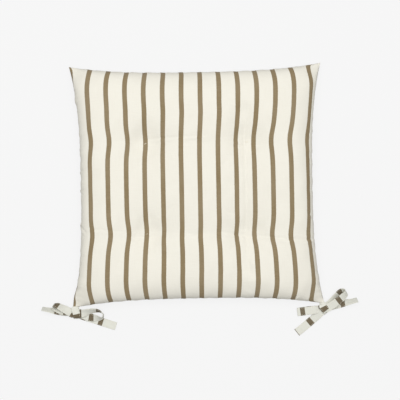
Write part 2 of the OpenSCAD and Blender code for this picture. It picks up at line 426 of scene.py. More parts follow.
@dataclass
class SharedEffects:
    """Shader groups that more than one cloth or thread uses."""

    weave: bpy.types.ShaderNodeTree = field(init=False)
    stripes: bpy.types.ShaderNodeTree = field(init=False)
    handling: bpy.types.ShaderNodeTree = field(init=False)

    def __post_init__(self) -> None:
        """Builds the groups once."""
        self.weave = self.build_weave()
        self.stripes = self.build_stripes()
        self.handling = self.build_handling()

    def build_weave(self) -> bpy.types.ShaderNodeTree:
        """Plain weave: warp and weft threads cross by turns, and each thread varies in thickness.

        Height is the product of two waves, one along each thread direction, plus slubs. Over is
        1 where the warp lies on top. Yarn is the thread's own shade, drawn out along it.
        """
        group, w, source, result = new_group(
            "plain_weave",
            {"Vector": ("NodeSocketVector", None), "Threads": ("NodeSocketFloat", 1900.0)},
            ("Height", "Over", "Yarn"),
        )
        sides = w.add("SeparateXYZ", {0: source.outputs["Vector"]})
        waves = []
        for axis in ("X", "Y"):
            turn = w.math("MULTIPLY", sides.outputs[axis], source.outputs["Threads"])
            waves.append(w.math("SINE", w.math("MULTIPLY", turn, np.pi)))
        over = w.math("MULTIPLY_ADD", w.math("MULTIPLY", *waves), 0.5, 0.5)
        warp = w.noise(w.stretched(source.outputs["Vector"], (1500, 45, 1)), 1.0, 1.5)
        weft = w.noise(w.stretched(source.outputs["Vector"], (45, 1500, 1)), 1.0, 1.5)
        yarn = w.math("MULTIPLY_ADD", w.math("ADD", warp, weft), 1.0, -0.5)
        height = w.math("MULTIPLY_ADD", yarn, 0.7, over)
        for label, value in (("Height", height), ("Over", over), ("Yarn", yarn)):
            w.link(value, result, label)
        return group

    def build_stripes(self) -> bpy.types.ShaderNodeTree:
        """Woven stripes across X: 1 inside a stripe, with an edge that wavers by a thread."""
        group, w, source, result = new_group(
            "woven_stripes",
            {
                "Vector": ("NodeSocketVector", None),
                "Pitch": ("NodeSocketFloat", 0.03),
                "Width": ("NodeSocketFloat", 0.0077),
                "First": ("NodeSocketFloat", 0.0),
            },
            ("Mask",),
        )
        sides = w.add("SeparateXYZ", {0: source.outputs["Vector"]})
        waver = w.noise(w.stretched(source.outputs["Vector"], (300, 900, 1)), 1.0, 1.0)
        moved = w.math("MULTIPLY_ADD", waver, 0.0005, sides.outputs["X"])
        off = w.math("SUBTRACT", moved, source.outputs["First"])
        folded = w.math("PINGPONG", off, w.math("MULTIPLY", source.outputs["Pitch"], 0.5))
        inside = w.math("SUBTRACT", w.math("MULTIPLY", source.outputs["Width"], 0.5), folded)
        mask = w.between(inside, -0.00025, 0.00025, 0.0, 1.0)
        w.link(mask, result, "Mask")
        return group

    def build_handling(self) -> bpy.types.ShaderNodeTree:
        """Traces of use: broad uneven fading, small flecks of cotton seed and soft rubbed patches."""
        group, w, source, result = new_group(
            "handling",
            {"Vector": ("NodeSocketVector", None)},
            ("Fade", "Fleck", "Rub"),
        )
        place = source.outputs["Vector"]
        fade = w.between(w.noise(place, 14.0, 3.0), 0.35, 0.65, 0.0, 1.0)
        fleck = w.between(w.noise(place, 900.0, 1.0), 0.74, 0.80, 0.0, 1.0)
        rub = w.between(w.noise(place, 70.0, 4.0), 0.45, 0.7, 0.0, 1.0)
        for label, value in (("Fade", fade), ("Fleck", fleck), ("Rub", rub)):
            w.link(value, result, label)
        return group


def new_material(name: str) -> tuple[bpy.types.Material, Wiring, bpy.types.Node]:
    """Makes a material and returns it with its wiring and its Principled BSDF."""
    material = bpy.data.materials.new(name)
    material.use_nodes = True
    return material, Wiring(material.node_tree), material.node_tree.nodes["Principled BSDF"]


@dataclass(frozen=True)
class StripedCotton:
    """Yarn-dyed cotton canvas: cream, with brown stripes in which cream threads show through."""

    name: str
    map_size: tuple[float, float]
    map_start: tuple[float, float] = (0.0, 0.0)
    cream: tuple = linear(237, 234, 223)
    brown: tuple = linear(118, 100, 69)
    pitch: float = 0.030
    width: float = 0.0077
    first: float = 0.0
    threads: float = 1900.0

    def material(self, effects: SharedEffects) -> bpy.types.Material:
        """Builds the cloth's material on its own map, in metres of flat cloth.

        Args:
            effects: The shared shader groups.

        Returns:
            The material.
        """
        material, w, cloth = new_material(self.name)
        flat = w.add("UVMap", uv_map=CLOTH_MAP).outputs["UV"]
        inputs = {"Vector": flat, "Scale": (*self.map_size, 1), "Location": (*self.map_start, 0)}
        place = w.add("Mapping", inputs).outputs["Vector"]
        weave = w.add("Group", node_tree=effects.weave)
        stripes = w.add("Group", node_tree=effects.stripes)
        handling = w.add("Group", node_tree=effects.handling)
        for group in (weave, stripes, handling):
            w.link(place, group, "Vector")
        weave.inputs["Threads"].default_value = self.threads
        for label, value in (("Pitch", self.pitch), ("Width", self.width), ("First", self.first)):
            stripes.inputs[label].default_value = value
        yarn, over = weave.outputs["Yarn"], weave.outputs["Over"]
        cream = w.mix(w.math("MULTIPLY", yarn, 0.35), self.cream, linear(218, 213, 197))
        cream = w.mix(w.math("MULTIPLY", handling.outputs["Fleck"], 0.35), cream, linear(176, 158, 126))
        shown = w.math("MULTIPLY_ADD", over, 0.16, w.math("MULTIPLY", yarn, 0.30))
        brown = w.mix(shown, self.brown, linear(188, 172, 140))
        colour = w.mix(stripes.outputs["Mask"], cream, brown)
        faded = w.mix(w.math("MULTIPLY", handling.outputs["Fade"], 0.05), colour, linear(214, 206, 190))
        w.link(faded, cloth, "Base Color")
        rough = w.math("MULTIPLY_ADD", handling.outputs["Rub"], -0.06, 0.9)
        w.link(rough, cloth, "Roughness")
        bump = w.add("Bump", {"Height": weave.outputs["Height"], "Distance": 0.00012, "Strength": 0.55})
        w.link(bump.outputs["Normal"], cloth, "Normal")
        cloth.inputs["Sheen Weight"].default_value = 0.12
        cloth.inputs["Sheen Roughness"].default_value = 0.5
        cloth.inputs["Specular IOR Level"].default_value = 0.2
        return material


@dataclass(frozen=True)
class CottonThread:
    """Mercerised sewing thread: cream, with a soft gloss and twisted plies."""

    name: str
    colour: tuple = linear(240, 234, 218)
    shade: tuple = linear(206, 197, 175)

    def material(self, effects: SharedEffects) -> bpy.types.Material:
        """Builds the thread's material: slanting plies and flecks on object coordinates."""
        material, w, thread = new_material(self.name)
        place = w.add("TexCoord").outputs["Object"]
        slanted = w.stretched(place, (1, 1, 1), (0.6, 0.4, 0.7))
        twist = w.add("TexWave", {"Vector": slanted, "Scale": 650.0, "Distortion": 2.5})
        handling = w.add("Group", {"Vector": place}, node_tree=effects.handling)
        share = w.math("MULTIPLY_ADD", twist.outputs["Fac"], 0.35, handling.outputs["Fleck"])
        w.link(w.mix(share, self.colour, self.shade), thread, "Base Color")
        rough = w.math("MULTIPLY_ADD", handling.outputs["Rub"], 0.12, 0.55)
        w.link(rough, thread, "Roughness")
        bump = w.add("Bump", {"Height": twist.outputs["Fac"], "Distance": 0.00008, "Strength": 0.6})
        w.link(bump.outputs["Normal"], thread, "Normal")
        thread.inputs["Sheen Weight"].default_value = 0.2
        return material


@dataclass(frozen=True)
class Wadding:
    """Carded polyester fibre: white, matt and tangled."""

    name: str
    colour: tuple = linear(247, 247, 245)
    shade: tuple = linear(222, 222, 218)

    def material(self, effects: SharedEffects) -> bpy.types.Material:
        """Builds the wadding's material: tangled fibres as stretched and warped noise."""
        material, w, fibre = new_material(self.name)
        place = w.add("TexCoord").outputs["Object"]
        fine = w.noise(w.stretched(place, (900, 260, 500), (0.3, 0.2, 0.9)), 1.0, 4.0)
        cross = w.noise(w.stretched(place, (260, 900, 500), (0.1, 0.5, 0.3)), 1.0, 4.0)
        tangle = w.math("MULTIPLY", w.math("ADD", fine, cross), 0.5)
        handling = w.add("Group", {"Vector": place}, node_tree=effects.handling)
        share = w.math("MULTIPLY_ADD", handling.outputs["Fade"], 0.2, tangle)
        w.link(w.mix(share, self.colour, self.shade), fibre, "Base Color")
        rough = w.math("MULTIPLY_ADD", tangle, 0.08, 0.9)
        w.link(rough, fibre, "Roughness")
        bump = w.add("Bump", {"Height": tangle, "Distance": 0.0006, "Strength": 0.8})
        w.link(bump.outputs["Normal"], fibre, "Normal")
        return material


# ---------------------------------------------------------------------------------------------
# Studio
# ---------------------------------------------------------------------------------------------


@dataclass
class Studio:
    """Camera straight above the pad, a plain pale floor that glows, and soft light from above."""

    lens: float = 85.0
    sensor: float = 36.0
    view_width: float = 0.635
    aim: tuple[float, float, float] = (0.0048, -0.0234, 0.012)
    roll: float = np.radians(-1.0)
    floor_half: float = 6.0
    floor_z: float = -0.0004
    pale: tuple = linear(246, 246, 246)
    glow_seen: float = 0.883
    glow_cast: float = 0.35
    sky_strength: float = 0.36
    light_size: tuple[float, float] = (3.0, 2.4)
    light_power: float = 75.5
    light_place: tuple[float, float, float] = (-0.1, 0.5, 2.75)
    light_turn: tuple[float, float, float] = (np.radians(-10.3), 0.0, np.radians(-8.0))

    def camera(self) -> bpy.types.Object:
        """Places the camera over its aim, at the height that the view's width asks for."""
        data = bpy.data.cameras.new("camera")
        data.lens = self.lens
        data.sensor_width = self.sensor
        data.dof.use_dof = False
        camera = bpy.data.objects.new("camera", data)
        x, y, z = self.aim
        camera.location = (x, y, z + self.view_width * self.lens / self.sensor)
        camera.rotation_euler = (0.0, 0.0, self.roll)
        data.clip_end = 20.0
        bpy.context.scene.collection.objects.link(camera)
        bpy.context.scene.camera = camera
        return camera

    def floor(self) -> bpy.types.Object:
        """Lays the floor: evenly bright to the eye, dimmer as a light, and clear from below."""
        half, z = self.floor_half, self.floor_z
        corners = np.array([[-half, -half, z], [half, -half, z], [half, half, z], [-half, half, z]])
        floor = make_piece("floor", corners, np.array([[0, 1, 2, 3]]))
        material, w, paint = new_material("pale_floor")
        grain = w.noise(w.add("TexCoord").outputs["Object"], 3.0)
        share = w.math("MULTIPLY", grain, 0.02)
        w.link(w.mix(share, (0.10, 0.10, 0.10, 1), (0.12, 0.12, 0.12, 1)), paint, "Base Color")
        paint.inputs["Roughness"].default_value = 0.95
        paint.inputs["Specular IOR Level"].default_value = 0.0
        paint.inputs["Emission Color"].default_value = self.pale
        seen = w.add("LightPath").outputs["Is Camera Ray"]
        glow = w.math("MULTIPLY_ADD", seen, self.glow_seen - self.glow_cast, self.glow_cast)
        w.link(glow, paint, "Emission Strength")
        clear = w.add("BsdfTransparent")
        behind = w.add("NewGeometry").outputs["Backfacing"]
        shown = w.add("MixShader", {0: behind, 1: paint.outputs[0], 2: clear.outputs[0]})
        w.tree.links.new(shown.outputs[0], w.tree.nodes["Material Output"].inputs["Surface"])
        floor.data.materials.append(material)
        return floor

    def lights(self) -> None:
        """Hangs a wide soft light a little towards the front and fills the rest from all round."""
        world = bpy.data.worlds.new("studio")
        world.use_nodes = True
        sky = world.node_tree.nodes["Background"]
        sky.inputs["Color"].default_value = (1.0, 1.0, 1.0, 1.0)
        sky.inputs["Strength"].default_value = self.sky_strength
        bpy.context.scene.world = world
        data = bpy.data.lights.new("front_softbox", "AREA")
        data.shape = "RECTANGLE"
        data.size, data.size_y = self.light_size
        data.energy = self.light_power
        light = bpy.data.objects.new("front_softbox", data)
        light.location = self.light_place
        light.rotation_euler = self.light_turn
        bpy.context.scene.collection.objects.link(light)
        bpy.context.scene.view_settings.view_transform = "Standard"

    def build(self) -> None:
        """Sets up the camera, the floor and the lights."""
        self.camera()
        self.floor()
        self.lights()


# ---------------------------------------------------------------------------------------------
# Ties
# ---------------------------------------------------------------------------------------------


@dataclass
class Strap:
    """One folded strap of a bow, from its corner through the knot, round its loop to its tail.

    Each route point gives x and y from the corner and z, in millimetres, the heading of the
    strap's width and its tilt, in degrees. The bands are the distances along the strap, in
    millimetres, at which a brown stripe of the cloth crosses it.
    """

    side: Side
    layer: str
    route: Sequence[Sequence[float]]
    bands: Sequence[float]
    start_y: float = -0.0002
    width: float = 0.013
    thick: float = 0.0012
    ring_steps: int = 12
    half_points: int = 19
    knot_reach: float = 0.0085
    knot_pinch: float = 0.16
    stitch_in: float = 0.79
    stitch_pitch: float = 0.0030
    stitch_length: float = 0.0021
    stitch_radius: float = 0.00016
    stitch_arch: float = 0.00009
    stitch_sink: float = 0.80
    groove_depth: float = 0.28
    groove_width: float = 0.07
    ripple_height: float = 0.00030
    map_length: float = 0.25
    pitch: float = 0.030

    @property
    def name(self) -> str:
        """The strap's node name."""
        return f"{self.side.word}_tie_{self.layer}_strap"

    def lines(self) -> tuple[np.ndarray, np.ndarray, np.ndarray]:
        """Middle line, width direction and thickness direction at each ring.

        Returns:
            Three arrays of one vector for each ring. The width lies along the heading, made
            square to the run, and the thickness is the run crossed with the width.
        """
        fine = spline(np.array(self.route, float), self.ring_steps)
        low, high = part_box("top_panel")
        corner = np.array([high.x if self.side is Side.RIGHT else low.x, low.y + self.start_y, 0.0])
        middle = fine[:, :3] * MM + corner
        run = unit(np.gradient(middle, axis=0))
        head, tilt = np.radians(fine[:, 3]), np.radians(fine[:, 4])
        level = [np.cos(head) * np.cos(tilt), np.sin(head) * np.cos(tilt), np.sin(tilt)]
        raw = np.stack(level, axis=-1)
        wide = unit(raw - run * np.sum(raw * run, axis=1, keepdims=True))
        return middle, wide, unit(np.cross(run, wide))

    def crumple(self, middle: np.ndarray) -> np.ndarray:
        """How hard the knot squeezes the strap: a bell of the distance from the knot's middle."""
        knot = middle[(arc_length(middle) > 0.004)][0] * [1, 0, 0] + [0, middle[0, 1] - 0.007, 0.0055]
        away = np.linalg.norm(middle - knot, axis=1)
        return np.exp(-((away / self.knot_reach) ** 2))

    def section(self, squeeze: np.ndarray) -> np.ndarray:
        """Outline of the strap at each ring, in metres across and through.

        The half thickness is a power curve that rounds the two edges, with a shallow groove
        under each row of topstitching. Where the knot squeezes the strap it is narrower and its
        face ripples across.

        Args:
            squeeze: How hard the knot squeezes each ring, from 0 to 1.

        Returns:
            An array of rings by points by two distances.
        """
        a = -np.cos(np.pi * np.arange(self.half_points) / (self.half_points - 1))
        off_row = (np.abs(a) - self.stitch_in) / self.groove_width
        groove = 1 - self.groove_depth * np.exp(-(off_row**2))
        half = self.thick / 2 * np.sqrt(np.maximum(1 - np.abs(a) ** 10, 0.02)) * groove
        across = np.concatenate([a, a[::-1]])
        through = np.concatenate([-half, half[::-1]])
        wide = self.width / 2 * (1 - self.knot_pinch * squeeze)
        ripple = self.ripple(squeeze[:, None], across)
        return np.stack([across * wide[:, None], through + ripple], axis=-1)

    def ripple(self, squeeze: np.ndarray, across: np.ndarray | float) -> np.ndarray:
        """Height of the waves that the knot's squeeze raises across the strap."""
        return self.ripple_height * squeeze * np.cos(2.6 * np.pi * across + 0.7)

    def build(self, cloth: bpy.types.Material, thread: bpy.types.Material) -> bpy.types.Object:
        """Sweeps the section along the route and sews both edges.

        Args:
            cloth: The strap's material.
            thread: The topstitching's material.

        Returns:
            The strap.
        """
        middle, wide, thick = self.lines()
        squeeze = self.crumple(middle)
        outline = self.section(squeeze)
        points = middle[:, None] + outline[..., :1] * wide[:, None] + outline[..., 1:] * thick[:, None]
        lengths = arc_length(middle)
        along = self.cloth_distance(lengths) / self.map_length
        mesh = ribbon_mesh(points, 2 * self.width / self.map_length, along)
        strap = make_piece(f"{self.side.word}_bow_{self.layer}_ribbon", points, *mesh)
        dress(strap, cloth, self.side.body, self.name)
        seam = self.topstitching(middle, wide, thick, squeeze, thread)
        log.info("%s: %.0f mm long, %d rings", self.name, lengths[-1] / MM, len(middle))
        return strap

    def cloth_distance(self, lengths: np.ndarray) -> np.ndarray:
        """Distance along the flat cloth, in which the brown stripes lie a pitch apart."""
        bands = np.array(self.bands) * MM
        marks = self.pitch * np.arange(len(bands))
        before, after = bands[0] - 4 * self.pitch, bands[-1] + 4 * self.pitch
        where = np.concatenate([[before], bands, [after]])
        flat = np.concatenate([[-4 * self.pitch], marks, [marks[-1] + 4 * self.pitch]])
        return np.interp(lengths, where, flat) + 2 * self.pitch

    def topstitching(
        self,
        middle: np.ndarray,
        wide: np.ndarray,
        thick: np.ndarray,
        squeeze: np.ndarray,
        thread: bpy.types.Material,
    ) -> bpy.types.Object:
        """Sews a row of stitches along both edges, on both faces of the strap."""
        lengths = arc_length(middle)
        first = np.arange(self.stitch_pitch, lengths[-1] - 2 * self.stitch_pitch, self.stitch_pitch)
        up = unit(at_distance(thick, first, lengths))
        rows = []
        for edge in (-1, 1):
            for face in (-1, 1):
                across = edge * self.stitch_in
                reach = across * self.width / 2 * (1 - self.knot_pinch * squeeze)
                out = self.thick / 2 * self.stitch_sink * face + self.ripple(squeeze, across)
                line = middle + wide * reach[:, None] + thick * out[:, None]
                starts = at_distance(line, first, lengths)
                ends = at_distance(line, first + self.stitch_length, lengths)
                rows.append(stitches(starts, ends, up * face, self.stitch_radius, self.stitch_arch))
        points, faces = joined(rows)
        seam = make_piece(f"{self.side.word}_tie_{self.layer}_topstitching", points, faces)
        return dress(seam, thread, self.side.body)


@dataclass
class Tie:
    """One tie: two straps in a bow, the neck that comes out of the corner and its bar of thread."""

    side: Side
    outer: Strap
    inner: Strap
    neck_in: float = 0.0065
    neck_width_in: float = 0.006
    neck_inset: float = 0.0035
    neck_thick: float = 0.0024
    gather_height: float = 0.0004
    map_start: float = 0.42
    map_across: float = 0.1
    bend_start: float = 0.0005
    bar_stitches: int = 13
    bar_radius: float = 0.00045
    bar_arch: float = 0.0004
    bar_reach: float = 0.0010

    def neck(self, cloth: bpy.types.Material) -> bpy.types.Object:
        """Folded cloth that runs from inside the corner to both straps.

        A flat round-edged section is carried along a straight line out of the corner, and it
        widens from the gathered end inside the seam to the straps' full width.

        Args:
            cloth: The neck's material.

        Returns:
            The neck.
        """
        starts = [strap.lines() for strap in (self.outer, self.inner)]
        out = (starts[0][0][3] + starts[1][0][3]) / 2
        x, y, z = (starts[0][0][0] + starts[1][0][0]) / 2
        inwards = -self.side.value * self.neck_inset
        path = np.array(
            [
                [x + inwards, y + self.neck_in, z - 0.001],
                [x + inwards * 0.6, y + self.neck_in * 0.6, z - 0.0005],
                [x + inwards * 0.15, y + self.neck_in * 0.25, z],
                [x, y, z],
                out,
            ]
        )
        line = spline(path, 6)
        share = np.clip(arc_length(line) / self.neck_in, 0, 1)
        width = self.neck_width_in + (self.outer.width - self.neck_width_in) * share**1.5
        a = -np.cos(np.pi * np.arange(13) / 12)
        half = self.neck_thick / 2 * np.sqrt(np.maximum(1 - np.abs(a) ** 6, 0.02))
        across = np.concatenate([a, a[::-1]]) / 2 * width[:, None]
        waves = np.cos(3.2 * np.pi * np.concatenate([a, a[::-1]]))
        gather = self.gather_height * waves * (1 - share[:, None])
        through = np.concatenate([-half, half[::-1]]) + gather
        run = unit(np.gradient(line, axis=0))
        wide = unit(np.cross(np.array([0.0, 0.0, 1.0]), run))
        wide *= np.sign(np.sum(wide * starts[0][1][0], axis=1, keepdims=True))
        thick = np.cross(run, wide)
        points = line[:, None] + across[..., None] * wide[:, None] + through[..., None] * thick[:, None]
        along = self.map_start + arc_length(line) / self.outer.map_length
        mesh = ribbon_mesh(points, self.map_across, along)
        neck = make_piece(f"{self.side.word}_tie_neck", points, *mesh)
        dress(neck, cloth)
        self.side.body
        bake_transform(neck)
        return neck

    def bar(self, thread: bpy.types.Material) -> bpy.types.Object:
        """Satin-stitched bar that fixes the tie inside its corner, across the diagonal."""
        node = f"{self.side.word}_tie_bartack"
        low, high = (np.array(corner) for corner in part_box(node))
        middle, half = (low + high) / 2, (high[0] - low[0]) / 2
        slant = np.array([1.0, self.side.value, 0.0]) / np.sqrt(2)
        over = np.array([-slant[1], slant[0], 0.0])
        step = np.linspace(-1, 1, self.bar_stitches)[:, None] * half * 0.85
        rows = []
        for face in (-1, 1):
            base = middle + slant * step + [0, 0, face * (high[2] - low[2]) * 0.3]
            up = np.tile([0.0, 0.0, float(face)], (self.bar_stitches, 1))
            reach = over * self.bar_reach
            rows.append(stitches(base - reach, base + reach, up, self.bar_radius, self.bar_arch))
        points, faces = joined(rows)
        bar = make_piece(f"{node}_stitches", points, faces)
        return dress(bar, thread, "pad", node)

    def build(self, cloth: bpy.types.Material, thread: bpy.types.Material) -> None:
        """Builds both straps, the neck and the bar."""
        self.outer.build(cloth, thread)
        self.inner.build(cloth, thread)
        self.neck(cloth)
        self.bar(thread)


def tie_pair() -> list[Tie]:
    """The two ties, with the routes that their straps follow from each rear corner."""
    left, right = Side.LEFT, Side.RIGHT
    left_outer = [
        [3, -2.9, 8.3, 0, 0], [3, -5.5, 8.1, -5, 0], [2.5, -9.6, 6.8, -50, 0], [-2, -9.6, 6.9, -95, 0],
        [-9, -4.2, 9, -110, 22], [-17, 0.4, 10.2, -112, 44], [-25, 4.6, 9.8, -113, 58],
        [-31, 5.2, 8.6, -113, 74], [-29, -0.2, 7.2, -112, 56], [-19, -4.2, 6.2, -112, 38],
        [-8, -6, 4.6, -112, 12], [0, -8, 3.7, -111, 0], [6, -10.2, 2.9, -110, 0],
        [13, -13, 2.1, -110, 0], [24, -17, 1, -110, 0], [38, -21.6, 0.8, -109, 0],
        [52, -26.4, 0.8, -108, 0], [67, -31.4, 0.8, -108, 0],
    ]
    left_inner = [
        [4, -2.9, 9.7, 0, 0], [4.3, -5.5, 9.9, 0, 0], [5.6, -10, 10.1, 0, 0], [6, -14.5, 8.6, 0, 0],
        [6, -17, 5, 0, 0], [6, -14.5, 1.4, 0, 0], [6, -9.5, 0.8, 0, 0], [6, -5, 1.8, 0, 0],
        [6, -3.4, 4.2, 0, 0], [7, -5.4, 6.6, 10, 0], [9, -7.8, 7.4, 45, 0], [14, -9, 8.2, 80, 14],
        [24, -6, 9.8, 86, 40], [34, -4.6, 10.1, 84, 52], [42, -6, 9.6, 80, 66], [47.5, -11, 8.8, 76, 82],
        [45, -16.4, 7.6, 74, 64], [36, -17, 5.8, 74, 34], [23, -14.8, 3.2, 74, 6],
        [13, -11.2, 3.6, 78, 0], [6, -9, 3, 82, 0], [-1, -8, 2.2, 82, 0], [-12, -6.8, 1.9, 80, -8],
        [-26, -5.3, 5, 80, -44], [-38, -3, 6.4, 80, -62], [-50, -0.5, 6.6, 78, -68],
    ]
    right_outer = [
        [-2, -2.9, 8.3, 0, 0], [-2, -5.5, 8, 10, 0], [1.2, -9.4, 7.4, 80, 0], [8, -5, 8.6, 120, 4],
        [15, -0.5, 10.4, 123, 10], [23, 5.2, 11.6, 124, 18], [30.5, 11.5, 11.4, 124, 32],
        [35, 16.5, 9.4, 122, 42], [32, 20, 6.8, 122, 45], [26, 18.5, 5.4, 124, 44],
        [19.5, 12, 5.2, 126, 38], [12, 3, 5.6, 127, 22], [6, -3.5, 5.8, 128, 6], [0.5, -9, 5.8, 129, 0],
        [-6, -14.8, 5.6, 130, 0], [-13, -21, 3.4, 131, 0], [-23, -29.7, 1, 131, 0],
        [-33, -38, 0.8, 131, 0], [-44, -46.3, 0.8, 131, 0],
    ]
    right_inner = [
        [-2.5, -2.9, 9.7, 0, 0], [-2.4, -4.8, 9.9, 12, 0], [0.5, -8.7, 10.2, 38, 0], [3, -12, 8.6, 38, 0],
        [4.6, -14, 5.2, 38, 0], [3, -12, 1.6, 38, 0], [0.5, -8.7, 0.8, 38, 0], [-2, -5.6, 1.4, 38, 0],
        [-3.2, -4.2, 3.2, 30, 0], [-4, -6.4, 4.4, -20, 0], [-8, -9.2, 4.8, -78, 0], [-16, -10.2, 6.8, -86, 0],
        [-28, -11.5, 6, -85, 0], [-38, -12.7, 4.8, -84, 0], [-42.6, -13.2, 2.8, -84, 0],
        [-37, -12.5, 1, -84, 0],
        [-26, -11.3, 1.1, -84, 0], [-16, -10.4, 1.8, -84, 0], [-7, -9.4, 2.6, -80, 0],
        [0.5, -8.2, 2.5, -76, 0],
        [7, -6.2, 2, -76, 0], [17, -3.5, 1.7, -76, 6], [29.5, -0.5, 4.2, -76, 34], [41, 2, 6, -78, 56],
        [53, 4.8, 6.5, -80, 62],
    ]
    return [
        Tie(
            left,
            Strap(left, "outer", left_outer, (10, 41, 70, 100, 128)),
            Strap(left, "inner", left_inner, (11, 41, 73.5, 107, 135, 163)),
        ),
        Tie(
            right,
            Strap(right, "outer", right_outer, (5, 35, 65, 99, 133, 163)),
            Strap(right, "inner", right_inner, (6, 36, 66.5, 94, 121.5, 149)),
        ),
    ]


# ---------------------------------------------------------------------------------------------
# Pad
# ---------------------------------------------------------------------------------------------


@dataclass(frozen=True)
class Fold:
    """A crease in a panel, from one point of the flat cloth to another."""

    start: tuple[float, float]
    end: tuple[float, float]
    depth: float
    width: float = 0.0022


@dataclass(frozen=True)
class Channel:
    """A broad trough in the top, along a straight line of the pad's plan."""

    start: tuple[float, float]
    end: tuple[float, float]
    depth: float
    reach: float = 0.016


@dataclass
class Pad:
    """The cushion: two panels of cloth sewn edge to edge, blown up round wadding and tufted.

    x and y run from -1 to 1 over the flat cloth, and u and v from -1 to 1 over the pad's plan.
    A nip is its place along the left seam, its reach and how far it juts out. The tufts' loops
    and tails give the thread's radius and the pitch of its twist.
    The cover starts as the smooth pad that the frame holds, with the cloth spread evenly over
    it, and the cloth then settles under the wadding's push.
    """

    flat_w: float = 0.410
    flat_d: float = 0.393
    cells_w: int = 112
    cells_d: int = 108
    pull_x: float = 0.017
    pull_y: float = 0.013
    belly: float = 0.010
    cloth: float = 0.0008
    gap: float = 0.0008
    edge_power: float = 8.0
    round_power: float = 0.42
    gather_sides: float = 0.018
    gather_ends: float = 0.018
    gather_tufts: float = 0.012
    front_drift: float = 0.0137
    gather_power: float = 12.0
    ear_flat: float = 0.80
    ear_reach: float = 0.022
    tuft_reach: float = 0.024
    under_reach: float = 0.013
    tuft_floor: float = 0.005
    tuft_loop: tuple[float, float] = (0.00032, 0.0019)
    tuft_tail: tuple[float, float] = (0.00038, 0.0022)
    nips: tuple = (
        (0.140, 0.008, 0.0016),
        (0.060, 0.003, 0.0010),
        (0.023, 0.003, 0.0016),
        (-0.006, 0.003, 0.0016),
        (-0.061, 0.004, 0.0020),
        (-0.178, 0.014, 0.0022),
    )
    nip_depth: float = 0.007
    pinned: float = 0.0036
    most_move: float = 0.009
    frames: int = 34
    pressure: float = 4.0

    def __post_init__(self) -> None:
        """Reads the pad's sizes from the frame."""
        low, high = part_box("top_panel")
        thread_low, thread_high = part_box("seam_thread")
        self.half_w, self.half_d, self.crown = high.x, high.y, high.z
        self.corner_z = thread_low.z + self.gap / 2
        self.seam_z = thread_high.z - self.gap / 2
        names = [f"tuft_thread_{end}_{side}" for end in ("front", "rear") for side in ("left", "right")]
        boxes = {name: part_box(name) for name in names}
        self.tufts = {
            name: ((a.x + b.x) / 2, (a.y + b.y) / 2, a.z + 0.0015, b.z - 0.0015)
            for name, (a, b) in boxes.items()
        }
        self.lay_out(self.cells_w + 1, self.cells_d + 1)

    def lay_out(self, cols: int, rows: int) -> None:
        """Sets the flat cloth's own places for a grid of points."""
        self.x, self.y = np.meshgrid(np.linspace(-1, 1, cols), np.linspace(-1, 1, rows))

    @staticmethod
    def finer(points: np.ndarray) -> np.ndarray:
        """Doubles a grid: a new point is 9/16 of each near neighbour less 1/16 of each next one."""
        for axis in (0, 1):
            rows = np.moveaxis(points, axis, 0)
            beyond = np.concatenate([2 * rows[:1] - rows[1:2], rows, 2 * rows[-1:] - rows[-2:-1]])
            doubled = np.repeat(rows, 2, axis=0)[:-1]
            doubled[1::2] = (9 * (rows[:-1] + rows[1:]) - beyond[:-3] - beyond[3:]) / 16
            points = np.moveaxis(doubled, 0, axis)
        return points

    def channels(self) -> list[Channel]:
        """Troughs that the tufts pull between them, and one that runs on past the right pair."""
        left, right = (self.tufts[f"tuft_thread_front_{side}"] for side in ("left", "right"))
        front, rear = left[1], self.tufts["tuft_thread_rear_left"][1]
        return [
            Channel((left[0], rear), (left[0], front), 0.0030),
            Channel((right[0] - 0.003, rear - 0.055), (right[0] - 0.003, front + 0.045), 0.0055),
            Channel((left[0], front), (right[0], front), 0.0022),
            Channel((left[0], rear), (right[0], rear), 0.0026),
            Channel((right[0], rear), (self.half_w, rear - 0.008), 0.0022),
            Channel((-self.half_w, rear + 0.002), (left[0], rear), 0.0018),
            Channel((-self.half_w, front), (left[0], front), 0.0012),
        ]

    def plan(self, u: np.ndarray, v: np.ndarray) -> tuple[np.ndarray, np.ndarray]:
        """X and Y of each point: the sides pull in by a cubic between the corners."""
        side_x = self.half_w - self.pull_x * (1 - np.abs(v) ** 3)
        side_y = self.half_d - self.pull_y * (1 - np.abs(u) ** 3)
        return u * side_x, v * side_y

    def tuft_bell(self, px: np.ndarray, py: np.ndarray, reach: float, level: int) -> tuple:
        """How near each point is to a tuft, as a bell, and the height of the nearest tuft."""
        bells = []
        for tx, ty, *_ in self.tufts.values():
            off = np.maximum(0, np.hypot(px - tx, py - ty) - self.tuft_floor)
            bells.append(np.exp(-((off / reach) ** 1.6)))
        bells = np.stack(bells)
        levels = np.array([spot[level] for spot in self.tufts.values()])
        return np.max(bells, axis=0), levels[np.argmax(bells, axis=0)]

    def trough(self, px: np.ndarray, py: np.ndarray) -> np.ndarray:
        """Depth of the channels: a bell of the distance from each line, fading past its ends."""
        depth = np.zeros_like(px)
        for channel in self.channels():
            start, end = np.array(channel.start), np.array(channel.end)
            run = end - start
            share = ((px - start[0]) * run[0] + (py - start[1]) * run[1]) / (run @ run)
            held = np.clip(share, 0, 1)
            away = np.hypot(px - start[0] - held * run[0], py - start[1] - held * run[1])
            depth = np.maximum(depth, channel.depth * np.exp(-((away / channel.reach) ** 2)))
        return depth

